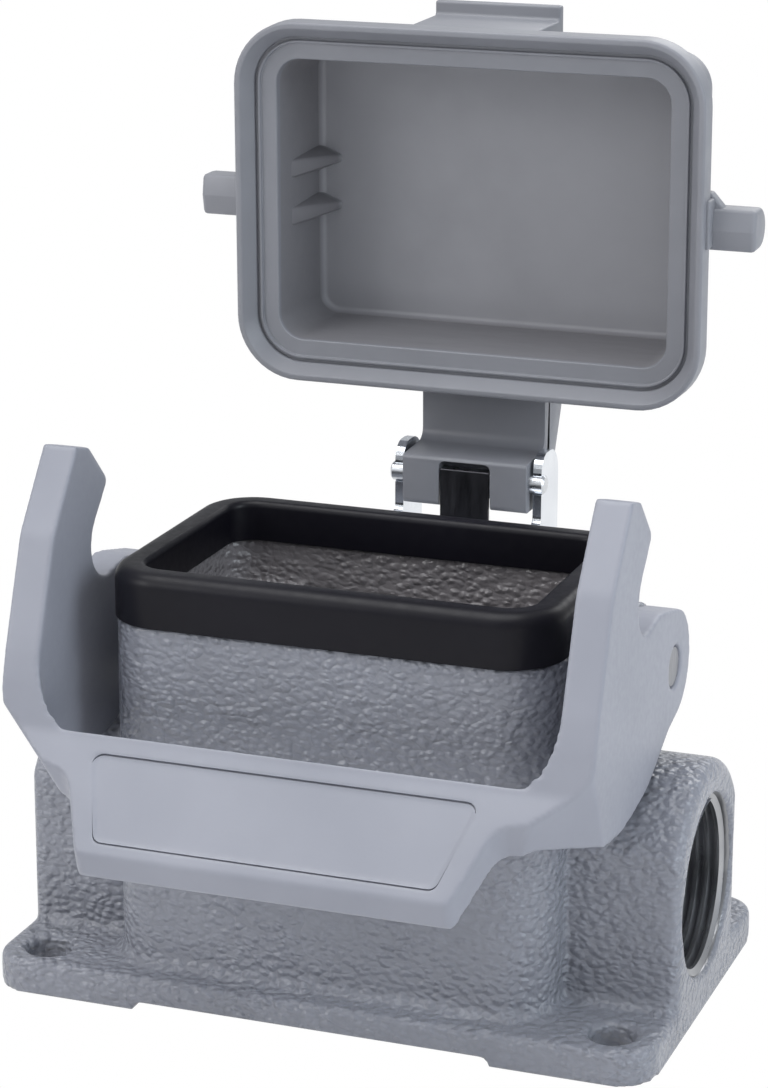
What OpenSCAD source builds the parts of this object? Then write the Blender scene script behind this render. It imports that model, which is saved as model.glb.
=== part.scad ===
// Surface mounting connector housing, size 6 pattern, with one locking
// lever and a hinged protective cover. Millimetres, +Z up, origin at the
// centre of the mounting face, X along the long side, lever on -Y.
// What stands round the opening is drawn about the middle of the opening.

/* [Base flange] */
// Distance between the fixing holes along X
fixing_pitch_x = 81.5; // [80.5:0.5:84]
// Distance between the fixing holes along Y
fixing_pitch_y = 46; // [45:0.5:49]
// Diameter of the fixing holes
fixing_hole = 6.2; // [4.5:0.1:6.4]
// Distance from a fixing hole's centre to the end of the flange
end_margin = 6.5; // [6:0.1:7.5]
// Distance from a fixing hole's centre to the side of the flange
side_margin = 6; // [5.5:0.1:7]
// Thickness of the flange
flange_thickness = 4.8; // [4:0.1:6]
// Corner radius of the flange
flange_radius = 5.5; // [4:0.5:7]
// Height of the relief under the middle of the flange
relief_height = 1.1; // [0.6:0.1:1.5]

/* [Body] */
// How far the opening lies in front of the middle of the base
mouth_offset = 3; // [2:0.5:3.5]
// Outside length of the body along X
body_length = 63; // [62.6:0.2:63.2]
// Outside width of the body along Y
body_width = 42.4; // [42:0.2:43]
// Wall thickness of the body
body_wall = 2.9; // [2.4:0.1:3.2]
// Height of the top of the insert screw bosses
ledge_height = 48.7; // [44:0.5:50]
// Distance between the insert screws along X
insert_pitch_x = 44; // [43:0.5:45]
// Distance between the insert screws along Y
insert_pitch_y = 27; // [26:0.5:28]
// Drilled diameter of the insert screw holes
insert_screw = 3.3; // [2.8:0.1:3.6]

/* [Cable entry] */
// Nominal diameter of the cable entry thread
entry_diameter = 25; // [20:0.5:25]
// Height of the cable entry axis
entry_height = 17.8; // [17.5:0.1:18.5]
// Half width of the end bosses
end_boss_half = 14.8; // [14.4:0.1:15.4]
// Radius of the domed top of the end bosses about the entry axis
end_boss_dome = 17.3; // [16.5:0.1:17.6]

/* [Seal] */
// Height of the top of the rubber collar seal
seal_top = 60.8; // [60.4:0.1:60.8]
// Width of the flat top of the seal
seal_width = 4.3; // [3.6:0.1:4.6]

/* [Locking lever] */
// Thickness of the lever arms along X
arm_thickness = 5.05; // [4.6:0.05:5.05]
// Diameter of the lever pins
lever_pin = 5.9; // [5:0.1:6]
// Depth of the recessed panel of the grip plate
panel_depth = 0.35; // [0.2:0.05:0.6]

/* [Cover] */
// Thickness of the cover's top wall
cover_roof = 2; // [1.6:0.1:2.6]
// Length of the cover pegs beyond the rim
peg_reach = 6.6; // [5:0.1:6.8]
// Width of the hinge strap and of the thumb tab
strap_width = 19.1; // [18:0.1:19.2]
// Diameter of the hinge pin
hinge_pin_diameter = 2.8; // [2.4:0.1:2.8]

/* [Hidden] */
$fn = 48;
eps = 0.01;
running_gap = 0.05;

flange_half = [fixing_pitch_x / 2 + end_margin, fixing_pitch_y / 2 + side_margin];
flange_edge = 0.9;
end_face = flange_half[0];
relief_half = 25.1;
foot_fillet = 1.8;

body_half = [body_length / 2, body_width / 2];
body_radius = 7.6;
shoulder = 53.3;
rim_top = 55;
cavity_half = body_half - [body_wall, body_wall];
cavity_radius = body_radius - body_wall;
cavity_floor = relief_height + 3;
boss_edge = 1.8;

seal_overhang = [0.2, 0.5];
seal_half = body_half + seal_overhang;
seal_radius = 8;
seal_skirt = 1.56;

pivot = [5.5, 47.4];
pivot_boss_radius = 8.2;
pivot_boss_face = body_half[0] + 4.4;
arm_inner = pivot_boss_face + 0.1;
arm_outer = arm_inner + arm_thickness;
pin_end = arm_outer - 0.35;

plate_top = [-34, 39.9];
plate_height = 13.8;
plate_tilt = 39.56;
draw_tilt = 16.86;
lip_depth = 4.75;

ring_face = seal_top + running_gap;
rim_half = seal_half + [3.5, 4.7];
rim_radius = 9.4;
rim_low = ring_face - 2.65;
rim_high = ring_face + 1.45;
mouth_half = rim_half - [5.6, 5.8];
shell_inset = 3;
roof = ring_face + 15.95;
cover_top = roof + cover_roof;
strap_half = strap_width / 2;
strap_face = roof - 9;
peg_axis = ring_face + 3.85;
peg_radius = 2.95;

hinge = [body_half[1] + 18.2, ring_face + 0.35];
cover_angle = 89;
slot_half = 3.95;

sheet = 1.4;
cheek = 1.3;
bracket_half = strap_half + 1.75;
bracket_floor = hinge[1] - 10.8;
wall_face = body_half[1] + 1.6;
rivet_pitch = 14;
rivet_radius = 1.6;
rivet_height = bracket_floor - 7;
spring_half = 3.7;
spring_sheet = 0.6;
spring_face = hinge[0] - 2.1;
spring_rivet_y = wall_face + 9.2;

// Shapes shared by the pieces

function unit(v) = v / norm(v);

// Arc that rounds one corner [x, y, radius] of an outline.
function corner_arc(before, corner, after) =
    let (p = [corner[0], corner[1]],
         u = unit([before[0], before[1]] - p),
         v = unit([after[0], after[1]] - p),
         half = acos(u * v) / 2,
         centre = p + unit(u + v) * corner[2] / sin(half),
         from = p + u * corner[2] / tan(half) - centre,
         turn = (u[0] * v[1] > u[1] * v[0] ? -1 : 1) * (180 - 2 * half),
         steps = ceil(abs(turn) / 16))
    [for (k = [0:steps]) let (a = turn * k / steps)
        centre + [from[0] * cos(a) - from[1] * sin(a), from[0] * sin(a) + from[1] * cos(a)]];

// Points of a closed outline whose corners are [x, y] or [x, y, radius].
function rounded(corners) = let (n = len(corners)) [for (k = [0:n - 1])
    each (len(corners[k]) == 2 ? [corners[k]]
                               : corner_arc(corners[(k + n - 1) % n], corners[k], corners[(k + 1) % n]))];

module rounded_plate(half, radius, height) {
    linear_extrude(height) rounded_outline(half, radius);
}

// Plate with its top edge rounded.
module soft_plate(half, radius, height, edge) {
    hull() {
        rounded_plate(half, radius, height - edge);
        for (a = [30:30:90]) translate([0, 0, height - edge + edge * sin(a) - eps])
            rounded_plate(half - edge * (1 - cos(a)) * [1, 1], radius - edge * (1 - cos(a)), eps);
    }
}

module rounded_outline(half, radius) {
    square([2 * half[0], 2 * (half[1] - radius)], center = true);
    square([2 * (half[0] - radius), 2 * half[1]], center = true);
    for (x = [-1, 1], y = [-1, 1])
        translate([x * (half[0] - radius), y * (half[1] - radius)]) circle(radius);
}

// A closed frame: profile points are [distance outside the corner centre, z].
module swept_frame(half, radius, profile) {
    run = half - [radius, radius];
    for (s = [0, 180]) rotate(s) {
        translate([run[0], 0, 0]) rotate([90, 0, 0])
            linear_extrude(2 * run[1], center = true) polygon(profile);
        rotate(90) translate([run[1], 0, 0]) rotate([90, 0, 0])
            linear_extrude(2 * run[0], center = true) polygon(profile);
        translate([run[0], run[1], 0]) rotate_extrude(angle = 90) polygon(profile);
        translate([-run[0], run[1], 0]) rotate([0, 0, 90]) rotate_extrude(angle = 90) polygon(profile);
    }
}

// Extrudes a [Y, Z] outline along X between two planes.
module along_x(from, to) {
    translate([from, 0, 0]) rotate([90, 0, 90]) linear_extrude(to - from) children();
}

module x_cylinder(from, to, radius) {
    translate([from, 0, 0]) rotate([0, 90, 0]) cylinder(h = to - from, r = radius);
}

module at_mouth() translate([0, -mouth_offset, 0]) children();

module both_sides() {
    children();
    mirror([1, 0, 0]) children();
}

// Housing

module end_boss() {
    root = body_half[0] - 8;
    length = end_face - root;
    intersection() {
        union() {
            translate([root, 0, entry_height]) rotate([0, 90, 0]) rotate_extrude($fn = 96)
                polygon(rounded([[0, 0], [end_boss_dome, 0], [end_boss_dome, length, boss_edge], [0, length]]));
            translate([root, -end_boss_half, relief_height])
                cube([length, 2 * end_boss_half, entry_height - relief_height]);
        }
        translate([root, 0, relief_height])
            rounded_plate([length, end_boss_half], boss_edge, entry_height + end_boss_dome);
    }
}

// Section of a concave fillet: the wall stands at x = 0, the floor lies at z = 0.
function fillet_points(r) = concat([[-1, -1], [r, -1], [r, 0]],
    [for (a = [75:-15:15]) [r - r * cos(a), r - r * sin(a)]], [[0, r], [-1, r]]);

module body_block() {
    rim_inset = seal_skirt + running_gap;
    difference() {
        union() {
            translate([0, 0, flange_thickness - 1])
                rounded_plate(body_half, body_radius, shoulder - flange_thickness + 1);
            translate([0, 0, flange_thickness]) swept_frame(body_half, body_radius,
                [for (p = fillet_points(foot_fillet)) p + [body_radius, 0]]);
            both_sides() translate([0, pivot[0], pivot[1]])
                x_cylinder(body_half[0] - 1, pivot_boss_face, pivot_boss_radius);
            translate([-bracket_half - 2.2, body_half[1] - 1, bracket_floor - 14])
                cube([2 * bracket_half + 4.4, wall_face - body_half[1] + 1, 15]);
        }
        translate([0, 0, shoulder]) rounded_plate(seal_half + [0.15, 0.15], seal_radius + 0.15, pivot_boss_radius);
    }
    translate([0, 0, shoulder - 1])
        rounded_plate(seal_half - [rim_inset, rim_inset], seal_radius - rim_inset, rim_top - shoulder + 1);
}

module base_block() {
    soft_plate(flange_half, flange_radius, flange_thickness, flange_edge);
    both_sides() {
        end_boss();
        for (s = [-1, 1]) translate([body_half[0] - 2, s * end_boss_half, flange_thickness])
            rotate([90, 0, 90]) linear_extrude(end_face - body_half[0] + 1)
                scale([s, 1]) polygon(fillet_points(foot_fillet));
    }
}

module screw_bosses() {
    drop = ledge_height - cavity_floor + 1;
    for (x = [-1, 1], y = [-1, 1]) scale([x, y, 1])
        translate([insert_pitch_x / 2, insert_pitch_y / 2, cavity_floor - 1]) {
            cylinder(h = drop, r = 4.2);
            translate([0, -4.2, 0]) cube([7, 8.4, drop]);
            translate([-4.2, 0, 0]) cube([8.4, 5, drop]);
        }
}

module relief() rotate([90, 0, 0]) linear_extrude(4 * flange_half[1], center = true)
    polygon(rounded([[-relief_half - 0.8, -0.5], [-relief_half, relief_height, 0.5],
                     [relief_half, relief_height, 0.5], [relief_half + 0.8, -0.5]]));

// Drilled hole from z = 0 up, its mouth chamfered at z = depth.
module drilled(depth, radius, chamfer) {
    cylinder(h = depth + 1, r = radius);
    translate([0, 0, depth - chamfer]) cylinder(h = chamfer + 1, r1 = radius, r2 = radius + chamfer + 1);
}

module housing() color("#8b8f96") difference() {
    union() {
        difference() {
            union() {
                base_block();
                at_mouth() body_block();
            }
            at_mouth() translate([0, 0, cavity_floor]) rounded_plate(cavity_half, cavity_radius, rim_top);
        }
        at_mouth() intersection() {
            screw_bosses();
            translate([0, 0, cavity_floor - 2]) rounded_plate(cavity_half + [0.5, 0.5], cavity_radius + 0.5, rim_top);
        }
    }
    relief();
    for (x = [-1, 1], y = [-1, 1]) {
        translate([x * fixing_pitch_x / 2, y * fixing_pitch_y / 2, -1])
            drilled(flange_thickness + 1, fixing_hole / 2, 0.5);
        at_mouth() translate([x * insert_pitch_x / 2, y * insert_pitch_y / 2, ledge_height - 14])
            cylinder(h = 15, r = insert_screw / 2);
    }
    translate([cavity_half[0] - 1, 0, entry_height]) rotate([0, 90, 0])
        drilled(end_face - cavity_half[0] + 1, entry_diameter / 2, 0.5);
    at_mouth() {
        both_sides() translate([0, pivot[0], pivot[1]])
            x_cylinder(body_half[0] - 1.5, pivot_boss_face + 1, lever_pin / 2 + eps);
        at_rivets(body_half[1] - 2) cylinder(h = 6, r = rivet_radius + eps);
    }
}

// Rubber collar seal

module collar_seal() color("#26252b") at_mouth() {
    inner = seal_radius - seal_width;
    skirt = seal_radius - seal_skirt;
    low = shoulder + running_gap;
    step = rim_top + running_gap;
    swept_frame(seal_half, seal_radius, rounded([
        [seal_radius, low], [seal_radius, seal_top, 2], [inner, seal_top, 0.8], [inner, step],
        [skirt, step], [skirt, low]]));
}

// Locking lever

// Point of the grip plate: distance down its face, distance behind it along the draw.
function on_plate(down, behind) = plate_top - down * [sin(plate_tilt), cos(plate_tilt)]
    + behind * [sin(draw_tilt), -cos(draw_tilt)];

function corner(point, radius) = [point[0], point[1], radius];

// Corners of the right half, followed by those of the left half.
function mirrored(half) = concat(half, [for (k = [len(half) - 1:-1:0])
    [for (i = [0:len(half[k]) - 1]) i == 0 ? -half[k][0] : half[k][i]]]);

// Side view: hook, eye round the pin, underside, grip plate and back.
module lever_side_outline() {
    eye = pivot_boss_radius - 0.7;
    right = pivot[0] + eye;
    polygon(rounded([
        [-17.2, 76.3, 0.6], [-13.1, 75.2, 1.5], [-7.5, 69.4, 1], [-13.1, 63.1, 5], [-13.1, 55.3, 4.8], [-2, 57.2, 10],
        [right, pivot[1] + 6.3, eye], [right, pivot[1] - 5.8, eye - 0.2], [3.3, 39.1, 4], [-6.5, 34.2, 15],
        [-18.5, 32.1, 30], corner(on_plate(1.4, 4.8), 3), corner(on_plate(plate_height, lip_depth), 0.8),
        corner(on_plate(plate_height, 0), 0.6), corner(on_plate(-2.2, 0), 2), [-31, 49.6, 25], [-25, 66, 4]]));
}

// Outline of the bow seen along the draw direction; v grows towards the grip edge.
module lever_front_outline() {
    far = 70;
    difference() {
        polygon(rounded(mirrored([[arm_outer, -far], [arm_outer, 0.3, 6], [29.6, 2.35, 3.5], [25.6, 11.5, 1.6]])));
        polygon(rounded(mirrored([[arm_inner, -far - 1], [arm_inner, -2.25, 5]])));
    }
}

module draw_prism() {
    translate([0, plate_top[0], plate_top[1]]) rotate([draw_tilt, 0, 0]) translate([0, 0, -60])
        linear_extrude(120) mirror([0, 1]) children();
}

module on_panel(depth) {
    translate([0, plate_top[0], plate_top[1]]) rotate([90 - plate_tilt, 0, 0]) translate([0, 0, -depth])
        linear_extrude(depth + 1) mirror([0, 1]) children();
}

module panel_outline() polygon(rounded([[-26.8, 0, 0.9], [-23.3, 12, 0.9], [23.3, 12, 0.9], [26.8, 0, 0.9]]));

module locking_lever() color("#a9adb8") at_mouth() difference() {
    intersection() {
        along_x(-arm_outer, arm_outer) lever_side_outline();
        draw_prism() lever_front_outline();
    }
    on_panel(panel_depth) panel_outline();
    lip_mark();
    corner_bevel();
    translate([-arm_outer - 1, pivot[0], pivot[1]]) rotate([0, 90, 0])
        cylinder(h = 2 * arm_outer + 2, r = lever_pin / 2 + running_gap);
}

// Bevel on the lower front corner of each arm.
module corner_bevel() both_sides() intersection() {
    translate([arm_inner - 6.4, -60, 0]) cube([20, 60, 60]);
    translate([arm_outer - 6.25, plate_top[0] - 0.6, plate_top[1] - 0.8]) rotate([0, 110, -49.5])
        translate([-20, -20, 0]) cube([40, 40, 20]);
}

// Shallow seat of the mould insert in the underside of the lip.
module lip_mark() {
    low = on_plate(plate_height, lip_depth);
    translate([0, low[0], low[1]]) rotate([draw_tilt - 90, 0, 0])
        translate([-3.7, 0.6, -1]) cube([8.2, 3.6, 1.15]);
}

module lever_pins() color("#b9bcc4") at_mouth() both_sides()
    translate([0, pivot[0], pivot[1]]) {
        x_cylinder(body_half[0] - 1.2, pin_end - 0.3, lever_pin / 2);
        translate([pin_end - 0.3, 0, 0]) rotate([0, 90, 0]) cylinder(h = 0.3, r1 = lever_pin / 2, r2 = lever_pin / 2 - 0.3);
    }

// Protective cover, drawn closed and swung open

module swing_open() {
    translate([0, hinge[0], hinge[1]]) rotate([-cover_angle, 0, 0])
        translate([0, -hinge[0], -hinge[1]]) children();
}

// Rim with its skirt, the groove beside it and the flat face that meets the seal.
module cover_rim() {
    r = rim_radius;
    f = ring_face;
    swept_frame(rim_half, r, rounded([
        [r - 5.6, f], [r - 3.35, f], [r - 3.3, f - 0.5], [r - 2.95, f - 0.5], [r - 2.9, f + 0.1], [r - 2.5, f + 0.1],
        [r - 2.4, f - 0.5], [r - 1, rim_low, 0.2], [r - 0.1, rim_low, 0.4], [r, rim_high, 0.8], [r - 5.6, rim_high]]));
}

// Level outline of the cover's body at a height.
module shell_layer(inset, height, radius)
    translate([0, 0, height]) rounded_plate(rim_half - [inset, inset], radius, 0.1);

module cover_shell() {
    inset = shell_inset;
    difference() {
        hull() {
            shell_layer(inset, rim_high - 0.4, rim_radius - inset);
            shell_layer(inset + 1, cover_top - 2.2, rim_radius - inset - 0.6);
            shell_layer(inset + 1.6, cover_top - 0.7, rim_radius - inset - 1.2);
            shell_layer(inset + 2.8, cover_top - 0.1, rim_radius - inset - 2.2);
        }
        hull() {
            translate([0, 0, ring_face - 2]) rounded_plate(mouth_half, 3.9, 0.1);
            translate([0, 0, roof - 1]) rounded_plate(mouth_half - [0.6, 0.6], 3.4, 0.1);
            translate([0, 0, roof - 0.1]) rounded_plate(mouth_half - [1.3, 1.3], 2.9, 0.1);
        }
    }
}

// Wedge rib between the end wall and the roof.
module inner_gusset(y) {
    x = mouth_half[0] + 0.1;
    foot = mouth_half[0] - 4.3;
    low = roof - 12.5;
    high = roof + 0.3;
    translate([0, y, 0]) polyhedron(
        points = [[-x, -1.4, low], [-x, 1.4, low], [-x - 0.3, -2.3, high], [-x - 0.3, 2.3, high],
                  [-foot, -0.5, high], [-foot, 0.5, high]],
        faces = [[0, 4, 5, 1], [0, 2, 4], [1, 5, 3], [0, 1, 3, 2], [2, 3, 5, 4]]);
}

// Peg that the lever's hook holds down, with its foot and web.
module cover_peg() {
    root = rim_half[0] - 4.5;
    tip = rim_half[0] + peg_reach;
    foot = rim_half[0] + 0.45;
    r = peg_radius;
    intersection() {
        along_x(root, tip) translate([0.15, peg_axis]) polygon(rounded([
            [-r, 0], [-r, -3.05, 0.5], [0, -3.6, 0.3], [r, -3.05, 0.5], [r, 0], [r, r, r - 0.01], [-r, r, r - 0.01]]));
        translate([root, 0.15, peg_axis - 0.3]) rotate([0, 90, 0]) rotate_extrude()
            polygon(rounded([[0, 0], [4.4, 0], [4.4, tip - root, 2], [0, tip - root]]));
    }
    translate([foot - 1.35, -4.2, rim_low + 1.4]) cube([1.35, 6.9, rim_high - rim_low - 0.9]);
    translate([0, 0, rim_high - 0.1]) linear_extrude(2.1)
        polygon([[root, -4.9], [foot - 0.6, -4.9], [foot + 1.35, -2.7], [foot + 1.35, 0], [root, 0]]);
}

// Thumb tab on the front of the cover.
module cover_tab() {
    face = rim_half[1] - 0.25;
    lip = cover_top - 5.7;
    translate([0, -face, 0]) {
        translate([-strap_half + 0.1, 0, ring_face + 0.4]) cube([2 * strap_half - 0.2, 4.6, lip - ring_face + 1.3]);
        translate([-strap_half + 0.1, -2.1, lip]) cube([2 * strap_half - 0.2, 3, 1.7]);
    }
}

// Strap behind the cover that ends in the hinge block, stiffened by two side ribs.
module hinge_arm() {
    root = hinge[0] - 18.4;
    block = ring_face - 1.85;
    rib = 2.2;
    difference() {
        union() {
            along_x(-strap_half, strap_half) polygon(rounded([
                [root, strap_face], [hinge[0] - 3.5, strap_face, 1.8], [hinge[0] - 3.2, block, 0.6],
                [hinge[0] + 4.2, block, 0.9], [hinge[0] + 4.2, hinge[1] + 2.6, 1.5],
                [hinge[0] - 0.4, strap_face + 2.4], [root, strap_face + 2.4]]));
            for (x = [-strap_half, strap_half - rib]) along_x(x, x + rib) polygon(rounded([
                [root, strap_face + 2], [hinge[0] + 1, strap_face + 0.7], [hinge[0] + 0.2, strap_face + 4.6, 2],
                [hinge[0] - 8.6, cover_top - 2.3, 6], [root, cover_top - 1.4]]));
        }
        translate([0, hinge[0], hinge[1]]) x_cylinder(-20, 20, hinge_pin_diameter / 2 + running_gap);
        translate([-slot_half, hinge[0] - 2.7, hinge[1] - 6.2]) cube([2 * slot_half, 10, 9.2]);
    }
}

module cover() color("#7d828b") at_mouth() swing_open() {
    cover_rim();
    cover_shell();
    both_sides() {
        cover_peg();
        inner_gusset(-3.5);
        inner_gusset(3.6);
    }
    cover_tab();
    hinge_arm();
}

module hinge_pin() color("#c9ccd2") at_mouth() translate([0, hinge[0], hinge[1]]) {
    half = bracket_half + 0.5;
    x_cylinder(-half + 0.25, half - 0.25, hinge_pin_diameter / 2);
    for (s = [0, 180]) rotate([0, 0, s]) translate([half - 0.25, 0, 0]) rotate([0, 90, 0])
        cylinder(h = 0.25, r1 = hinge_pin_diameter / 2, r2 = hinge_pin_diameter / 2 - 0.25);
}

// Hinge bracket, spring and rivets

module at_rivets(y) for (x = [-rivet_pitch / 2, rivet_pitch / 2])
    translate([x, y, rivet_height]) rotate([-90, 0, 0]) children();

module at_spring_rivet(height) translate([0, spring_rivet_y, height]) children();

// Ear of the bracket with the notch that takes the pin.
module cheek_outline() difference() {
    front = hinge[0] - 0.45;
    back = hinge[0] + 7.65;
    top = hinge[1] + 4.3;
    polygon(rounded([
        [wall_face, bracket_floor], [back, bracket_floor], [back, top, 4], [front, top, 2.6],
        [front, bracket_floor + 5, 1.2], [wall_face + 2, bracket_floor + 2.3, 1.5], [wall_face, bracket_floor + 2]]));
    translate(hinge) {
        circle(hinge_pin_diameter / 2 + eps, $fn = 36);
        rotate(205) translate([0, -hinge_pin_diameter / 2 + 0.15]) square([6, hinge_pin_diameter - 0.3]);
    }
}

module hinge_bracket() color("#d3d8de") at_mouth() difference() {
    union() {
        for (x = [-bracket_half, bracket_half - cheek]) along_x(x, x + cheek) cheek_outline();
        translate([-bracket_half, wall_face, bracket_floor - sheet])
            cube([2 * bracket_half, hinge[0] + 7.65 - wall_face, sheet + eps]);
        translate([-bracket_half, wall_face, bracket_floor - 13]) cube([2 * bracket_half, sheet, 13]);
    }
    at_rivets(wall_face - 1) cylinder(h = 4, r = rivet_radius + eps);
    at_spring_rivet(bracket_floor - 3) cylinder(h = 5, r = rivet_radius - 0.1 + eps);
}

// Flat spring that bears on the hinge block and holds the cover open.
module detent_spring() color("#5b5e63") at_mouth() difference() {
    low = bracket_floor + 0.03;
    back = spring_face + spring_sheet;
    tip = hinge[1] + 1.5;
    root = spring_rivet_y - 4;
    along_x(-spring_half, spring_half) polygon(rounded([
        [root, low], [back, low, 1.6], [back, tip, 0.2], [spring_face, tip, 0.2],
        [spring_face, low + spring_sheet, 1], [root, low + spring_sheet]]));
    at_spring_rivet(bracket_floor - 1) cylinder(h = 3, r = rivet_radius - 0.1 + eps);
}

module bracket_rivets() color("#c4c8ce") at_mouth() at_rivets(body_half[1] - 1.8) {
    head = wall_face + sheet - body_half[1] + 1.8;
    cylinder(h = head, r = rivet_radius);
    translate([0, 0, head]) cylinder(h = 0.7, r = 2.8);
    translate([0, 0, head + 0.7]) cylinder(h = 0.6, r1 = 2.8, r2 = 1.6);
}

module spring_rivet() color("#c4c8ce") at_mouth() {
    top = bracket_floor + 0.03 + spring_sheet;
    at_spring_rivet(bracket_floor - sheet - 0.6) cylinder(h = 0.6, r = 2.3);
    at_spring_rivet(bracket_floor - sheet) cylinder(h = top + sheet - bracket_floor, r = rivet_radius - 0.1);
    at_spring_rivet(top) cylinder(h = 0.8, r1 = 2.6, r2 = 1.7);
}

housing();
collar_seal();
locking_lever();
lever_pins();
cover();
hinge_pin();
hinge_bracket();
detent_spring();
bracket_rivets();
spring_rivet();
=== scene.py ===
import math

import bmesh
import bpy
from mathutils import Matrix, Vector


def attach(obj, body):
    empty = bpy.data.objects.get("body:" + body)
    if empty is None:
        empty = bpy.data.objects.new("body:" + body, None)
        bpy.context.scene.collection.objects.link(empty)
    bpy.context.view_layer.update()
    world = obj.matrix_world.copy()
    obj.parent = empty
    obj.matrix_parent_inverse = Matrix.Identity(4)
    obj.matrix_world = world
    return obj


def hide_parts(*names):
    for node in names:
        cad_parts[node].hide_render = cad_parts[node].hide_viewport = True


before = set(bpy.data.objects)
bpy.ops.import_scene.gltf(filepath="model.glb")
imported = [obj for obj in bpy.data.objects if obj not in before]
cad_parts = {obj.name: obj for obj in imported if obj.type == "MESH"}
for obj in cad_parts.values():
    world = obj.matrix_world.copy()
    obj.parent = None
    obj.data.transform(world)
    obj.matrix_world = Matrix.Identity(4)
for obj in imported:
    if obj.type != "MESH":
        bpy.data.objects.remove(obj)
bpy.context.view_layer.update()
mm = 0.001
foldAngle = 35.0  # degrees; a sharper fold keeps a crisp edge
weldGap = 0.002  # points closer than this, in millimetres, become one

# Where the pieces stand, in millimetres; the opening lies in front of the base's middle.
layout = {"mouthY": -3.0, "hingeY": 39.4, "hingeZ": 61.2, "coverAngle": 89.0, "entryZ": 17.8}


# Mesh helpers. Every outline is in millimetres.

def linkPiece(name, data):
    piece = bpy.data.objects.new(name, data)
    bpy.context.collection.objects.link(piece)
    return piece


def shadeSmooth(piece, angle=foldAngle):
    for face in piece.data.polygons:
        face.use_smooth = True
    piece.data.set_sharp_from_angle(angle=math.radians(angle))


def newPiece(name, verts, faces):
    mesh = bpy.data.meshes.new(name)
    mesh.from_pydata([Vector(v) * mm for v in verts], [], faces)
    bm = bmesh.new()
    bm.from_mesh(mesh)
    bmesh.ops.remove_doubles(bm, verts=bm.verts, dist=weldGap * mm)
    bmesh.ops.recalc_face_normals(bm, faces=bm.faces)
    bm.to_mesh(mesh)
    bm.free()
    piece = linkPiece(name, mesh)
    shadeSmooth(piece)
    return piece


def applyModifiers(piece):
    bpy.context.view_layer.update()
    evaluated = piece.evaluated_get(bpy.context.evaluated_depsgraph_get())
    mesh = bpy.data.meshes.new_from_object(evaluated)
    piece.modifiers.clear()
    piece.data = mesh
    return piece


def bevel(piece, width, segments=3, angle=30.0):
    mod = piece.modifiers.new("bevel", "BEVEL")
    mod.width = width * mm
    mod.segments = segments
    mod.limit_method = "ANGLE"
    mod.angle_limit = math.radians(angle)
    applyModifiers(piece)
    shadeSmooth(piece)
    return piece


def cutAway(piece, tool):
    mod = piece.modifiers.new("cut", "BOOLEAN")
    mod.operation = "DIFFERENCE"
    mod.object = tool
    mod.solver = "EXACT"
    applyModifiers(piece)
    bpy.data.objects.remove(tool)
    return piece


def joinPieces(name, pieces):
    bm = bmesh.new()
    for piece in pieces:
        bm.from_mesh(piece.data)
    mesh = bpy.data.meshes.new(name)
    bm.to_mesh(mesh)
    bm.free()
    for piece in pieces:
        bpy.data.objects.remove(piece)
    joined = linkPiece(name, mesh)
    shadeSmooth(joined)
    return joined


def mirrored(piece, name):
    copy = linkPiece(name, piece.data.copy())
    copy.data.transform(Matrix.Scale(-1, 4, (1, 0, 0)))
    bm = bmesh.new()
    bm.from_mesh(copy.data)
    bmesh.ops.recalc_face_normals(bm, faces=bm.faces)
    bm.to_mesh(copy.data)
    bm.free()
    return copy


def placeAt(piece, matrix):
    piece.data.transform(matrix)
    return piece


def atMouth(piece):
    return placeAt(piece, Matrix.Translation((0, layout["mouthY"] * mm, 0)))


def swingOpen(piece):
    pivot = Vector((0, layout["hingeY"] * mm, layout["hingeZ"] * mm))
    turn = Matrix.Rotation(math.radians(-layout["coverAngle"]), 4, "X")
    return atMouth(placeAt(piece, Matrix.Translation(pivot) @ turn @ Matrix.Translation(-pivot)))


def arcPoints(cx, cy, radius, start, end, steps):
    angles = [math.radians(start + (end - start) * k / steps) for k in range(steps + 1)]
    return [(cx + radius * math.cos(a), cy + radius * math.sin(a)) for a in angles]


def roundedPath(points, steps=5, closed=False):
    # points are (x, y) or (x, y, corner radius); each corner with a radius becomes an arc
    mostShare = 0.49  # of a side that one arc may take
    count = len(points)
    path = []
    for k, corner in enumerate(points):
        c = Vector(corner[:2])
        radius = corner[2] if len(corner) > 2 else 0
        if radius <= 0 or (not closed and k in (0, count - 1)):
            path.append(tuple(c))
            continue
        u = Vector(points[k - 1][:2]) - c
        v = Vector(points[(k + 1) % count][:2]) - c
        half = u.angle(v) / 2
        reach = min(radius / math.tan(half), u.length * mostShare, v.length * mostShare)
        centre = c + (u.normalized() + v.normalized()).normalized() * (reach / math.cos(half))
        first = c + u.normalized() * reach - centre
        last = c + v.normalized() * reach - centre
        sweep = math.atan2(first.x * last.y - first.y * last.x, first.dot(last))
        for s in range(steps + 1):
            a = sweep * s / steps
            path.append((centre.x + first.x * math.cos(a) - first.y * math.sin(a),
                         centre.y + first.x * math.sin(a) + first.y * math.cos(a)))
    return path


def loft(name, rings, closed=False):
    # joins ring after ring of equal length; an open loft gets a cap at each end
    size = len(rings[0])
    verts = [v for ring in rings for v in ring]
    faces = []
    last = len(rings) if closed else len(rings) - 1
    for r in range(last):
        a, b = r * size, ((r + 1) % len(rings)) * size
        for k in range(size):
            n = (k + 1) % size
            faces.append((a + k, a + n, b + n, b + k))
    if not closed:
        faces.append(tuple(range(size)))
        faces.append(tuple(range(len(verts) - size, len(verts))))
    return newPiece(name, verts, faces)


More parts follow.
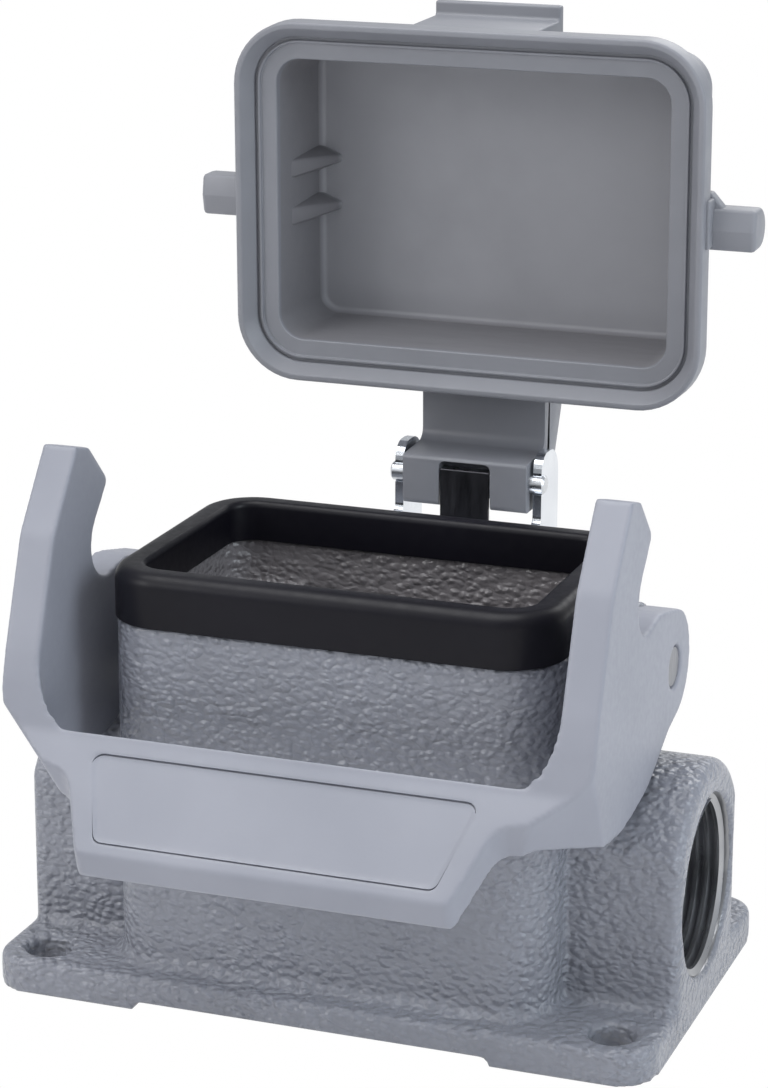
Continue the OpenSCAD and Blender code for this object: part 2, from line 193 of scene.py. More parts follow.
def cornerRing(halfX, halfY, radius, z):
    steps = 12  # of each rounded corner
    ring = []
    for cx, cy, start in ((1, 1, 0), (-1, 1, 90), (-1, -1, 180), (1, -1, 270)):
        for x, y in arcPoints(cx * (halfX - radius), cy * (halfY - radius), radius, start, start + 90, steps):
            ring.append((x, y, z))
    return ring


def frameSweep(name, half, radius, profile, closed=True):
    # profile rows are (offset outside the base outline, z)
    leastRadius = 0.3
    rings = [cornerRing(half[0] + o, half[1] + o, max(radius + o, leastRadius), z) for o, z in profile]
    return loft(name, rings, closed)


def extrudeAlongX(name, outline, fromX, toX):
    # outline holds (y, z) points
    return loft(name, [[(x, y, z) for y, z in outline] for x in (fromX, toX)])


def boxPiece(name, low, high):
    outline = [(low[1], low[2]), (high[1], low[2]), (high[1], high[2]), (low[1], high[2])]
    return extrudeAlongX(name, outline, low[0], high[0])


# Node helpers: a value that is a socket is linked, any other value is set.

def feed(tree, socket, value):
    if isinstance(value, bpy.types.NodeSocket):
        tree.links.new(value, socket)
    else:
        socket.default_value = value


def addNode(tree, kind, values=None, **settings):
    node = tree.nodes.new(kind)
    for key, value in settings.items():
        setattr(node, key, value)
    for key, value in (values or {}).items():
        feed(tree, node.inputs[key], value)
    return node


def newGroup(name, inputs, outputs, kind="ShaderNodeTree"):
    tree = bpy.data.node_groups.new(name, kind)
    for direction, sockets in (("INPUT", inputs), ("OUTPUT", outputs)):
        for label, socketType, value in sockets:
            socket = tree.interface.new_socket(label, in_out=direction, socket_type=socketType)
            if value is not None:
                socket.default_value = value
    return tree, tree.nodes.new("NodeGroupInput").outputs, tree.nodes.new("NodeGroupOutput").inputs


def useGroup(tree, group, values):
    return addNode(tree, "ShaderNodeGroup", values, node_tree=group).outputs


def mathNode(tree, operation, first, second=0.0):
    return addNode(tree, "ShaderNodeMath", {0: first, 1: second}, operation=operation).outputs[0]


def vectorNode(tree, operation, first, second):
    return addNode(tree, "ShaderNodeVectorMath", {0: first, 1: second}, operation=operation).outputs[0]


def multiply(tree, first, *others):
    for other in others:
        first = mathNode(tree, "MULTIPLY", first, other)
    return first


def noise(tree, vector, scale, detail=2.0, roughness=0.5):
    return addNode(tree, "ShaderNodeTexNoise", {"Vector": vector, "Scale": scale, "Detail": detail,
                                                "Roughness": roughness}).outputs


def remap(tree, value, low, high, toLow=0.0, toHigh=1.0):
    return addNode(tree, "ShaderNodeMapRange", {"Value": value, "From Min": low, "From Max": high,
                                                "To Min": toLow, "To Max": toHigh}).outputs["Result"]


def blendColours(tree, factor, first, second):
    # sockets 0, 6 and 7 are the factor and the two colours; output 2 is the colour
    return addNode(tree, "ShaderNodeMix", {0: factor, 6: first, 7: second}, data_type="RGBA").outputs[2]


def finishTree(tree, geometry, finish, end):
    real = addNode(tree, "GeometryNodeRealizeInstances", {0: geometry})
    dressed = addNode(tree, "GeometryNodeSetMaterial", {"Geometry": real.outputs[0], "Material": finish})
    feed(tree, end, dressed.outputs[0])


def runTree(piece, tree, values):
    mod = piece.modifiers.new("build", "NODES")
    mod.node_group = tree
    for item in tree.interface.items_tree:
        if item.item_type == "SOCKET" and item.in_out == "INPUT" and item.name in values:
            mod[item.identifier] = values[item.name]
    return applyModifiers(piece)


# Shared effects

noiseSpan = (0.3, 0.7)  # most of a noise texture's values lie in it


def makePebbleGroup():
    # hammered enamel: rounded pebbles that run together, some low and some high
    form = {"warpScale": 420.0, "warpReach": 1.1, "smoothness": 0.55, "mound": (0.1, 0.7),
            "hollow": (0.3, 0.75), "swellShare": 0.75, "patchScale": 90.0, "patch": (0.35, 0.65)}
    group, start, end = newGroup("hammeredEnamel",
                                 [("Vector", "NodeSocketVector", None), ("Size", "NodeSocketFloat", 1.2),
                                  ("Patchiness", "NodeSocketFloat", 0.5)],
                                 [("Height", "NodeSocketFloat", None), ("Hollows", "NodeSocketFloat", None)])
    scale = mathNode(group, "DIVIDE", 1 / mm, start["Size"])
    warp = noise(group, start["Vector"], form["warpScale"])
    centred = vectorNode(group, "SUBTRACT", warp["Color"], (0.5, 0.5, 0.5))
    nudge = vectorNode(group, "MULTIPLY", centred, (form["warpReach"] * mm,) * 3)
    moved = vectorNode(group, "ADD", start["Vector"], nudge)
    pebbles = addNode(group, "ShaderNodeTexVoronoi", {"Vector": moved, "Scale": scale,
                                                      "Smoothness": form["smoothness"]}, feature="SMOOTH_F1")
    cells = pebbles.outputs["Distance"]
    swell = noise(group, start["Vector"], multiply(group, scale, form["swellShare"]))["Fac"]
    mound = remap(group, cells, *form["mound"], 1.0, 0.0)
    spread = remap(group, noise(group, start["Vector"], form["patchScale"])["Fac"], *form["patch"])
    keep = mathNode(group, "SUBTRACT", 1.0, multiply(group, spread, start["Patchiness"]))
    feed(group, end["Height"], multiply(group, mathNode(group, "ADD", mound, swell), keep))
    # Hollows marks the gaps between pebbles; the housing paint darkens its colour there as painted shade
    feed(group, end["Hollows"], remap(group, cells, *form["hollow"]))
    return group


def makeGrainGroup():
    # fine grain of a moulded or sprayed surface, with slow drift of its tone
    group, start, end = newGroup("fineGrain",
                                 [("Vector", "NodeSocketVector", None), ("Scale", "NodeSocketFloat", 1500.0),
                                  ("Drift Scale", "NodeSocketFloat", 60.0)],
                                 [("Height", "NodeSocketFloat", None), ("Drift", "NodeSocketFloat", None)])
    grain = noise(group, start["Vector"], start["Scale"], detail=3.0, roughness=0.6)
    drift = noise(group, start["Vector"], start["Drift Scale"], detail=3.0)
    feed(group, end["Height"], grain["Fac"])
    feed(group, end["Drift"], remap(group, drift["Fac"], *noiseSpan))
    return group


def makeBrushedGroup():
    # turned or rolled metal: long fine scratches along one axis
    group, start, end = newGroup("brushedLines",
                                 [("Vector", "NodeSocketVector", None),
                                  ("Stretch", "NodeSocketVector", (1.0, 1.0, 1.0)),
                                  ("Scale", "NodeSocketFloat", 900.0)],
                                 [("Height", "NodeSocketFloat", None), ("Tone", "NodeSocketFloat", None)])
    stretched = vectorNode(group, "MULTIPLY", start["Vector"], start["Stretch"])
    lines = noise(group, stretched, start["Scale"], detail=4.0, roughness=0.65)
    tone = noise(group, start["Vector"], scale=180.0)
    feed(group, end["Height"], lines["Fac"])
    feed(group, end["Tone"], tone["Fac"])
    return group


pebbleGroup = makePebbleGroup()
grainGroup = makeGrainGroup()
brushedGroup = makeBrushedGroup()
print("shared effects ready")


# Materials: colours are linear, reliefs are in millimetres

def newMaterial(name):
    material = bpy.data.materials.new(name)
    material.use_nodes = True
    tree = material.node_tree
    shader = tree.nodes["Principled BSDF"].inputs
    coords = tree.nodes.new("ShaderNodeTexCoord").outputs["Object"]
    return material, tree, shader, coords


def bumpInto(tree, shader, height, strength, relief):
    bump = addNode(tree, "ShaderNodeBump", {"Height": height, "Strength": strength, "Distance": relief * mm})
    feed(tree, shader["Normal"], bump.outputs["Normal"])


def nearMiddle(tree, value, reach, fade):
    # 1 up to the reach on both sides of 0, with a short fade before it
    return remap(tree, mathNode(tree, "ABSOLUTE", value), (reach - fade) * mm, reach * mm, 1.0, 0.0)


def insideBox(tree, axes, limits):
    # 1 inside the box, 0 outside; limits are (low, high) in millimetres for each axis named
    masks = []
    for axis, (low, high) in limits.items():
        masks.append(mathNode(tree, "GREATER_THAN", axes[axis], low * mm))
        masks.append(mathNode(tree, "LESS_THAN", axes[axis], high * mm))
    return multiply(tree, *masks)


def makeHousingPaint():
    # inside is the colour of the well behind the opening: painted shade, darker and browner than the enamel
    look = {"light": (0.25, 0.262, 0.302, 1), "dark": (0.188, 0.195, 0.224, 1),
            "inside": (0.215, 0.203, 0.212, 1), "bare": (0.3, 0.305, 0.32, 1), "bareMetal": 0.9,
            "stretch": (0.82, 0.9, 1.2), "pebbleSize": 0.98, "patchiness": 0.55, "hollowShadeShare": 0.5,
            "driftShare": 0.45, "grainShare": 0.08, "roughness": (0.22, 0.33), "relief": 0.42}
    place = {"wall": (28.9, 18.6), "fade": 0.3, "wellFloor": 4.2, "boreRadius": 12.62, "boreEnd": 28.7}
    material, tree, shader, coords = newMaterial("hammeredPaint")
    pebbles = useGroup(tree, pebbleGroup, {"Vector": vectorNode(tree, "MULTIPLY", coords, look["stretch"]),
                                           "Size": look["pebbleSize"], "Patchiness": look["patchiness"]})
    grain = useGroup(tree, grainGroup, {"Vector": coords, "Scale": 1300.0, "Drift Scale": 45.0})
    # the hollows between pebbles are painted darker: painted shade
    hollowShade = multiply(tree, pebbles["Hollows"], look["hollowShadeShare"])
    drift = multiply(tree, grain["Drift"], look["driftShare"])
    enamel = blendColours(tree, drift, blendColours(tree, hollowShade, look["light"], look["dark"]), look["dark"])
    axes = addNode(tree, "ShaderNodeSeparateXYZ", {0: coords}).outputs
    # the well behind the opening is painted darker and browner: painted shade
    fromMouth = mathNode(tree, "SUBTRACT", axes["Y"], layout["mouthY"] * mm)
    well = multiply(tree, nearMiddle(tree, axes["X"], place["wall"][0], place["fade"]),
                    nearMiddle(tree, fromMouth, place["wall"][1], place["fade"]),
                    mathNode(tree, "GREATER_THAN", axes["Z"], place["wellFloor"] * mm))
    enamelWithWellShade = blendColours(tree, well, enamel, look["inside"])
    # the entry's bore is bare metal
    up = mathNode(tree, "SUBTRACT", axes["Z"], layout["entryZ"] * mm)
    square = mathNode(tree, "ADD", multiply(tree, up, up), multiply(tree, axes["Y"], axes["Y"]))
    within = mathNode(tree, "LESS_THAN", mathNode(tree, "SQRT", square), place["boreRadius"] * mm)
    bare = multiply(tree, within, mathNode(tree, "GREATER_THAN", axes["X"], place["boreEnd"] * mm))
    feed(tree, shader["Base Color"], blendColours(tree, bare, enamelWithWellShade, look["bare"]))
    feed(tree, shader["Metallic"], multiply(tree, bare, look["bareMetal"]))
    feed(tree, shader["Roughness"], remap(tree, grain["Drift"], 0, 1, *look["roughness"]))
    height = mathNode(tree, "ADD", pebbles["Height"], multiply(tree, grain["Height"], look["grainShare"]))
    coat = mathNode(tree, "SUBTRACT", 1.0, bare)
    bumpInto(tree, shader, multiply(tree, height, coat), 1.0, look["relief"])
    return material


def makeLeverFinish():
    look = {"light": (0.28, 0.289, 0.334, 1), "dark": (0.232, 0.242, 0.284, 1), "roughness": (0.4, 0.52),
            "bump": 0.2, "relief": 0.06}
    material, tree, shader, coords = newMaterial("leverFinish")
    grain = useGroup(tree, grainGroup, {"Vector": coords, "Scale": 900.0, "Drift Scale": 35.0})
    feed(tree, shader["Base Color"], blendColours(tree, grain["Drift"], look["light"], look["dark"]))
    feed(tree, shader["Roughness"], remap(tree, grain["Height"], *noiseSpan, *look["roughness"]))
    bumpInto(tree, shader, grain["Height"], look["bump"], look["relief"])
    return material


def makeCoverPlastic():
    # floor and its darker tone are the cover's inside floor painted lighter, painted light; wall is the inner
    # walls painted darker, painted shade
    look = {"light": (0.222, 0.228, 0.254, 1), "dark": (0.172, 0.177, 0.198, 1),
            "floor": (0.315, 0.318, 0.345, 1), "litFloorDark": (0.262, 0.265, 0.288, 1),
            "wall": (0.19, 0.188, 0.203, 1), "roughness": (0.38, 0.52), "bump": 0.15, "relief": 0.05}
    well = {"X": (-29.55, 29.55), "Y": (36.4, 52.6), "Z": (79.9, 121.3)}
    floorFrom, floorTo = 51.0, 51.8
    material, tree, shader, coords = newMaterial("coverPlastic")
    axes = addNode(tree, "ShaderNodeSeparateXYZ", {0: coords}).outputs
    grain = useGroup(tree, grainGroup, {"Vector": coords, "Scale": 1600.0, "Drift Scale": 30.0})
    flow = useGroup(tree, brushedGroup, {"Vector": coords, "Stretch": (0.25, 1.0, 1.0), "Scale": 240.0})
    tone = multiply(tree, grain["Drift"], flow["Tone"])
    outer = blendColours(tree, tone, look["light"], look["dark"])
    # the open cover leans by one degree, so its floor is found along the lean
    lean = multiply(tree, mathNode(tree, "SUBTRACT", axes["Z"], layout["hingeZ"] * mm),
                    math.radians(90 - layout["coverAngle"]))
    floor = remap(tree, mathNode(tree, "ADD", axes["Y"], lean), floorFrom * mm, floorTo * mm)
    # inside the cover the floor is painted lighter as painted light, and the walls darker as painted shade
    inner = blendColours(tree, floor, look["wall"], blendColours(tree, tone, look["floor"], look["litFloorDark"]))
    feed(tree, shader["Base Color"], blendColours(tree, insideBox(tree, axes, well), outer, inner))
    feed(tree, shader["Roughness"], remap(tree, flow["Height"], *noiseSpan, *look["roughness"]))
    height = mathNode(tree, "ADD", grain["Height"], flow["Height"])
    bumpInto(tree, shader, height, look["bump"], look["relief"])
    return material


def makeSealRubber():
    look = {"light": (0.006, 0.0056, 0.0098, 1), "dark": (0.0032, 0.003, 0.0052, 1),
            "roughness": (0.34, 0.46), "shine": 0.22, "bump": 0.12, "relief": 0.05}
    material, tree, shader, coords = newMaterial("sealRubber")
    grain = useGroup(tree, grainGroup, {"Vector": coords, "Scale": 700.0, "Drift Scale": 25.0})
    feed(tree, shader["Base Color"], blendColours(tree, grain["Drift"], look["light"], look["dark"]))
    feed(tree, shader["Roughness"], remap(tree, grain["Height"], *noiseSpan, *look["roughness"]))
    feed(tree, shader["Specular IOR Level"], look["shine"])
    bumpInto(tree, shader, grain["Height"], look["bump"], look["relief"])
    return material


metals = {
    "zincSheet": {"light": (0.86, 0.89, 0.93, 1), "dark": (0.7, 0.73, 0.78, 1), "roughness": 0.22,
                  "stretch": (1.0, 1.0, 0.2)},
    "leverPinSteel": {"light": (0.36, 0.37, 0.4, 1), "dark": (0.27, 0.28, 0.3, 1), "roughness": 0.42,
                      "stretch": (1.0, 1.0, 0.4)},
    "pinSteel": {"light": (0.72, 0.74, 0.77, 1), "dark": (0.58, 0.6, 0.63, 1), "roughness": 0.28,
                 "stretch": (0.3, 1.0, 1.0)},
    # the spring's near-black colour is painted shade for the shaded hinge window it sits in
    "springSteel": {"light": (0.1, 0.1, 0.11, 1), "dark": (0.06, 0.06, 0.07, 1), "roughness": 0.35,
                    "stretch": (1.0, 1.0, 0.15)},
    "threadMetal": {"light": (0.5, 0.51, 0.53, 1), "dark": (0.36, 0.37, 0.39, 1), "roughness": 0.32,
                    "stretch": (1.0, 0.2, 0.2)},
}
brushing = {"scale": 900.0, "smoothest": 0.8, "roughest": 1.25, "bump": 0.15, "relief": 0.04}


def makeMetal(name):
    look = metals[name]
    material, tree, shader, coords = newMaterial(name)
    lines = useGroup(tree, brushedGroup, {"Vector": coords, "Stretch": look["stretch"],
                                          "Scale": brushing["scale"]})
    feed(tree, shader["Base Color"], blendColours(tree, lines["Tone"], look["light"], look["dark"]))
    smoothest, roughest = (look["roughness"] * brushing[k] for k in ("smoothest", "roughest"))
    feed(tree, shader["Roughness"], remap(tree, lines["Height"], *noiseSpan, smoothest, roughest))
    feed(tree, shader["Metallic"], 1.0)
    bumpInto(tree, shader, lines["Height"], brushing["bump"], brushing["relief"])
    return material


housingPaint = makeHousingPaint()
leverFinish = makeLeverFinish()
coverPlastic = makeCoverPlastic()
sealRubber = makeSealRubber()
metalFinish = {name: makeMetal(name) for name in metals}
print("materials ready")


# Castings: the CAD solid's own form with the soft edges of a casting

castFold = 70.0  # degrees; only the sharpest folds of a casting stay crisp


def softCopy(name, nodeName, form, tool=None):
    bm = bmesh.new()
    bm.from_mesh(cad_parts[nodeName].data)
    bmesh.ops.remove_doubles(bm, verts=bm.verts, dist=weldGap * mm)
    mesh = bpy.data.meshes.new(name)
    bm.to_mesh(mesh)
    bm.free()
    piece = linkPiece(name, mesh)
    if tool:
        cutAway(piece, tool)
    remesh = piece.modifiers.new("remesh", "REMESH")
    remesh.mode = "VOXEL"
    remesh.voxel_size = form["voxel"] * mm
    smooth = piece.modifiers.new("smooth", "SMOOTH")
    smooth.factor = 0.5
    smooth.iterations = form["smoothing"]
    thin = piece.modifiers.new("thin", "DECIMATE")
    thin.ratio = form["share"]
    applyModifiers(piece)
    shadeSmooth(piece, castFold)
    return piece


def dress(piece, material, body, nodeName):
    piece.data.materials.clear()
    piece.data.materials.append(material)
    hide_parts(nodeName)
    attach(piece, body)
    return piece


def buildHousing():
    casting = {"voxel": 0.45, "smoothing": 4, "share": 0.42}
    piece = softCopy("housingCasting", "housing", casting)
    print("housing casting:", len(piece.data.polygons), "faces")
    return dress(piece, housingPaint, "base", "housing")


buildHousing()


# Locking lever: a moulding with one corner cut back and a fine groove round its grip panel

lever = {"voxel": 0.32, "smoothing": 9, "share": 0.8,
         "corner": (-34.8, -37.6, 39.1), "facet": (-0.69, -0.54, -0.482), "cornerEnd": -29.6,
         "plateY": -34.0, "plateZ": 39.9, "plateTilt": 39.56,
         "panelTop": 26.8, "panelFoot": 23.3, "panelHeight": 12, "panelRound": 1.4,
         "grooveWidth": 0.13, "grooveDepth": 0.55, "above": 1.5, "grooveFold": 50.0}


def cornerTool(point, normal, limit):
    # block whose lower face cuts the corner off, kept on the corner's side of the limit along X
    reach = 20
    tool = boxPiece("cornerTool", (-reach, -reach, 0), (reach, reach, reach))
    turn = Vector(normal).to_track_quat("Z", "Y").to_matrix().to_4x4()
    placeAt(tool, Matrix.Translation(Vector(point) * mm) @ turn)
    spared = {"low": (limit, -90, -20), "high": (60, 30, 90)}
    return cutAway(tool, boxPiece("spared", spared["low"], spared["high"]))


def panelPrism(outline, across, along, low, high):
    # prism square to the grip plate; the outline's (across, down) points move out by the two margins
    tilt = math.radians(lever["plateTilt"])
    middle = lever["panelHeight"] / 2
    rings = []
    for lift in (low, high):
        ring = []
        for x, v in outline:
            down = v + (along if v > middle else -along)
            ring.append((x + math.copysign(across, x),
                         lever["plateY"] + layout["mouthY"] - down * math.sin(tilt) - lift * math.cos(tilt),
                         lever["plateZ"] - down * math.cos(tilt) + lift * math.sin(tilt)))
        rings.append(ring)
    return loft("panelPrism", rings)


def buildLever():
    tool = cornerTool(lever["corner"], lever["facet"], lever["cornerEnd"])
    piece = softCopy("leverMoulding", "locking_lever", lever, tool)
    top, foot, height, corner = (lever[k] for k in ("panelTop", "panelFoot", "panelHeight", "panelRound"))
    outline = roundedPath([(-top, 0, corner), (top, 0, corner),
                           (foot, height, corner), (-foot, height, corner)], closed=True)
    # the groove is widest along the panel's top and foot and fades along its slanted ends
    width, depth, above = lever["grooveWidth"], -lever["grooveDepth"], lever["above"]
    groove = panelPrism(outline, width, width, depth, above)
    cutAway(groove, panelPrism(outline, width, -width, depth - 1, above + 1))
    cutAway(piece, groove)
    shadeSmooth(piece, lever["grooveFold"])
    print("lever moulding:", len(piece.data.polygons), "faces")
    return dress(piece, leverFinish, "lever", "locking_lever")


buildLever()


# Rubber collar seal

def buildSeal():
    seal = {"half": (31.7, 21.7), "radius": 8.0, "width": 4.3, "wall": 1.56, "low": 53.4, "rim": 55.05,
            "top": 60.8, "outerRound": 2.0, "innerRound": 0.9, "footRound": 0.25, "rimRound": 0.2,
            "wallRound": 0.1}
    inner, wall = -seal["width"], -seal["wall"]
    profile = roundedPath([(0, seal["low"], seal["footRound"]), (0, seal["top"], seal["outerRound"]),
                           (inner, seal["top"], seal["innerRound"]), (inner, seal["rim"], seal["rimRound"]),
                           (wall, seal["rim"], seal["wallRound"]), (wall, seal["low"], seal["wallRound"])],
                          6, closed=True)
    piece = atMouth(frameSweep("sealCollar", seal["half"], seal["radius"], profile))
    print("seal ready:", len(piece.data.polygons), "faces")
    return dress(piece, sealRubber, "base", "collar_seal")


buildSeal()


# Protective cover, drawn shut and then swung open

cover = {"half": (35.2, 26.4), "radius": 9.4, "rimLow": 58.2, "ringFace": 60.85, "rimHigh": 62.3,
         "floor": 76.8, "top": 78.8, "pegHeight": 64.7, "strapHalf": 9.5, "softEdge": 0.3, "edgeAngle": 40.0}


def coverShell():
    # rows are (offset from the rim's outline, z, corner radius)
    low, face, high, floor, top = (cover[k] for k in ("rimLow", "ringFace", "rimHigh", "floor", "top"))
    well = [(-9.0, floor, 0), (-6.9, floor, 0.7), (-6.3, floor - 1.0, 0.8), (-5.75, face + 0.2, 0.3)]
    ring = [(-5.6, face, 0.12), (-3.35, face, 0.12), (-3.3, face - 0.5, 0.1), (-2.97, face - 0.5, 0.12)]
    bead = [(-2.9, face + 0.1, 0.05), (-2.5, face + 0.1, 0.05), (-2.4, face - 0.5, 0.15)]
    rim = [(-1.0, low, 0.3), (-0.1, low, 0.4), (0, high, 0.8), (-3.0, high, 0.7)]
    roof = [(-4.0, top - 2.2, 2.0), (-5.2, top, 1.4), (-7.5, top, 0)]
    profile = roundedPath(well + ring + bead + rim + roof)
    return frameSweep("coverShell", cover["half"], cover["radius"], profile, closed=False)


def coverPeg():
    # flat underneath, round on top, with a rounded tip; a pad and a gusset carry it
    peg = {"radius": 2.95, "sideDrop": 3.05, "ridgeDrop": 3.6, "y": 0.15, "centreDrop": 0.2, "root": 30.7,
           "sideRound": 0.5, "ridgeRound": 0.3, "crown": (15, 165),
           "tip": ((41.1, 1.0), (41.45, 0.97), (41.65, 0.9), (41.76, 0.82), (41.8, 0.72))}
    pad = {"low": (34.3, -4.2, cover["rimLow"] + 1.4), "high": (35.65, 2.7, 62.8)}
    gusset = {"corners": ((peg["root"], -4.9), (35.05, -4.9), (37, -2.7), (37, 0), (peg["root"], 0)),
              "low": 62.2, "high": 64.3}
    radius, axis = peg["radius"], cover["pegHeight"]
    side, ridge = axis - peg["sideDrop"], axis - peg["ridgeDrop"]
    foot = [(-radius, side, peg["sideRound"]), (0, ridge, peg["ridgeRound"]), (radius, side, peg["sideRound"])]
    crown = arcPoints(0, axis, radius, *peg["crown"], 12)
    outline = roundedPath(foot + [(radius, axis)] + crown + [(-radius, axis)], 3, closed=True)
    centre = axis - peg["centreDrop"]
    rings = [[(x, peg["y"] + y * grow, centre + (z - centre) * grow) for y, z in outline]
             for x, grow in ((peg["root"], 1.0),) + peg["tip"]]
    body = loft("peg", rings)
    block = bevel(boxPiece("pad", pad["low"], pad["high"]), cover["softEdge"])
    rings = [[(x, y, z) for x, y in gusset["corners"]] for z in (gusset["low"], gusset["high"])]
    return joinPieces("pegSide", [body, block, bevel(loft("gusset", rings), cover["softEdge"])])


def coverTab():
    tab = {"side": 0.05, "outline": [(-22, 61.3), (-26.15, 61.3), (-26.15, 73.1, 0.5),
                                     (-28.2, 73.1, 0.4), (-28.2, 74.8, 0.5), (-22, 74.8)]}
    half = cover["strapHalf"] - tab["side"]
    block = extrudeAlongX("tabBlock", roundedPath(tab["outline"], 4), -half, half)
    return bevel(block, cover["softEdge"], angle=cover["edgeAngle"])


def hingeArm():
    arm = {"strap": [(21, 67.8), (35.9, 67.8, 1.8), (36.2, 59.0, 0.6), (43.6, 59.0, 0.9), (43.6, 63.8, 1.5),
                     (39, 70.2, 1.0), (21, 70.2)],
           "slotLow": (-3.95, 36.7, 54.0), "slotHigh": (3.95, 47.0, 64.2), "slotRound": 0.9,
           "rib": [(21, 69.8), (40.4, 68.5, 0.4), (39.6, 72.4, 2.0), (30.8, 76.5, 6.0), (21, 77.4)],
           "ribWidth": 2.2, "ribEdge": 0.35}
    half = cover["strapHalf"]
    strap = extrudeAlongX("strapPlate", roundedPath(arm["strap"], 6), -half, half)
    slot = boxPiece("slot", arm["slotLow"], arm["slotHigh"])
    cutAway(strap, bevel(slot, arm["slotRound"], 4, cover["edgeAngle"]))
    bevel(strap, cover["softEdge"], angle=cover["edgeAngle"])
    ribs = []
    for low, high in ((-half, arm["ribWidth"] - half), (half - arm["ribWidth"], half)):
        rib = extrudeAlongX("strapRib", roundedPath(arm["rib"]), low, high)
        ribs.append(bevel(rib, arm["ribEdge"], angle=cover["edgeAngle"]))
    return joinPieces("hingeArm", [strap] + ribs)


def gussetTree():
    # two ribs side by side, and the same pair turned to the other end wall
    tree, start, end = newGroup("wallGussets",
                                [("Geometry", "NodeSocketGeometry", None),
                                 ("Spacing", "NodeSocketFloat", 0.0071),
                                 ("Finish", "NodeSocketMaterial", None)],
                                [("Geometry", "NodeSocketGeometry", None)], "GeometryNodeTree")
    offset = addNode(tree, "ShaderNodeCombineXYZ", {"Y": start["Spacing"]})
    first = addNode(tree, "ShaderNodeCombineXYZ", {"Y": multiply(tree, start["Spacing"], -0.5)})
    row = addNode(tree, "GeometryNodeMeshLine", {"Count": 2, "Start Location": first.outputs[0],
                                                 "Offset": offset.outputs[0]})
    pair = addNode(tree, "GeometryNodeInstanceOnPoints", {"Points": row.outputs[0],
                                                          "Instance": start["Geometry"]})
    across = addNode(tree, "GeometryNodeTransform", {"Geometry": pair.outputs[0],
                                                     "Rotation": (0, 0, math.pi)})
    both = tree.nodes.new("GeometryNodeJoinGeometry")
    feed(tree, both.inputs[0], pair.outputs[0])
    feed(tree, both.inputs[0], across.outputs[0])
    finishTree(tree, both.outputs[0], start["Finish"], end[0])
    return tree


def wallGussets():
    rib = {"wall": 29.75, "foot": 25.4, "low": 64.4, "high": 77.0, "spacing": 7.1,
           "lowHalf": 1.4, "highHalf": 2.3, "crestHalf": 0.5, "edge": 0.35}
    wall, foot, low, high = -rib["wall"], -rib["foot"], rib["low"], rib["high"]
    wide, wider, slim = rib["lowHalf"], rib["highHalf"], rib["crestHalf"]
    verts = [(wall, -wide, low), (wall, wide, low), (wall, -wider, high), (wall, wider, high),
             (foot, -slim, high), (foot, slim, high)]
    piece = newPiece("wallGussets", verts, [(0, 4, 5, 1), (0, 2, 4), (1, 5, 3), (0, 1, 3, 2), (2, 3, 5, 4)])
    bevel(piece, rib["edge"], angle=cover["edgeAngle"])
    return runTree(piece, gussetTree(), {"Spacing": rib["spacing"] * mm, "Finish": coverPlastic})


def buildCover():
    peg = coverPeg()
    parts = [coverShell(), peg, mirrored(peg, "pegOther"), coverTab(), hingeArm(), wallGussets()]
    piece = swingOpen(joinPieces("coverMoulding", parts))
    print("cover ready:", len(piece.data.polygons), "faces")
    return dress(piece, coverPlastic, "lid", "cover")


buildCover()


# Internal thread of the cable entry

def threadTree():
    # a trapezoid swept along a spiral
    tree, start, end = newGroup("entryThread",
                                [("Radius", "NodeSocketFloat", 0.0121), ("Pitch", "NodeSocketFloat", 0.0015),
                                 ("Turns", "NodeSocketFloat", 9.0), ("Depth", "NodeSocketFloat", 0.0009),
                                 ("Finish", "NodeSocketMaterial", None)],
                                [("Geometry", "NodeSocketGeometry", None)], "GeometryNodeTree")
    height = multiply(tree, start["Pitch"], start["Turns"])
    spiral = addNode(tree, "GeometryNodeCurveSpiral",
                     {"Resolution": 96, "Rotations": start["Turns"], "Start Radius": start["Radius"],
                      "End Radius": start["Radius"], "Height": height})
    upright = addNode(tree, "GeometryNodeSetCurveNormal", {"Curve": spiral.outputs[0]}, mode="Z_UP")
    root, crest = 0.92, 0.22  # widths of the section, as shares of the pitch
    section = addNode(tree, "GeometryNodeCurvePrimitiveQuadrilateral",
                      {"Height": start["Depth"], "Bottom Width": multiply(tree, start["Pitch"], root),
                       "Top Width": multiply(tree, start["Pitch"], crest), "Offset": 0.0}, mode="TRAPEZOID")
    turn = addNode(tree, "GeometryNodeTransform", {"Geometry": section.outputs[0],
                                                   "Rotation": (0, 0, math.radians(270))})
    sweep = addNode(tree, "GeometryNodeCurveToMesh", {"Curve": upright.outputs[0],
                                                      "Profile Curve": turn.outputs[0], "Fill Caps": True})
    finishTree(tree, sweep.outputs[0], start["Finish"], end[0])
    return tree


def buildThread():
    thread = {"radius": 12.08, "pitch": 1.5, "turns": 10.0, "depth": 0.9, "mouth": 46.6, "smoothAngle": 30.0}
    piece = newPiece("entryThread", [(0, 0, 0)], [])
    runTree(piece, threadTree(), {"Radius": thread["radius"] * mm, "Pitch": thread["pitch"] * mm,
                                  "Turns": thread["turns"], "Depth": thread["depth"] * mm,
                                  "Finish": metalFinish["threadMetal"]})
    placeAt(piece, Matrix.Translation((thread["mouth"] * mm, 0, layout["entryZ"] * mm))
            @ Matrix.Rotation(math.radians(-90), 4, "Y"))
    shadeSmooth(piece, thread["smoothAngle"])
    print("thread ready:", len(piece.data.polygons), "faces")
    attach(piece, "base")
    return piece


buildThread()


# Metal parts keep their CAD solids

metalParts = {"lever_pins": "leverPinSteel", "hinge_pin": "pinSteel", "hinge_bracket": "zincSheet",
              "detent_spring": "springSteel", "bracket_rivets": "pinSteel", "spring_rivet": "pinSteel"}
for nodeName, finishName in metalParts.items():
    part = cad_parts[nodeName]
    part.data.materials.clear()
    part.data.materials.append(metalFinish[finishName])
print("metal parts dressed")


# Stage, light and camera

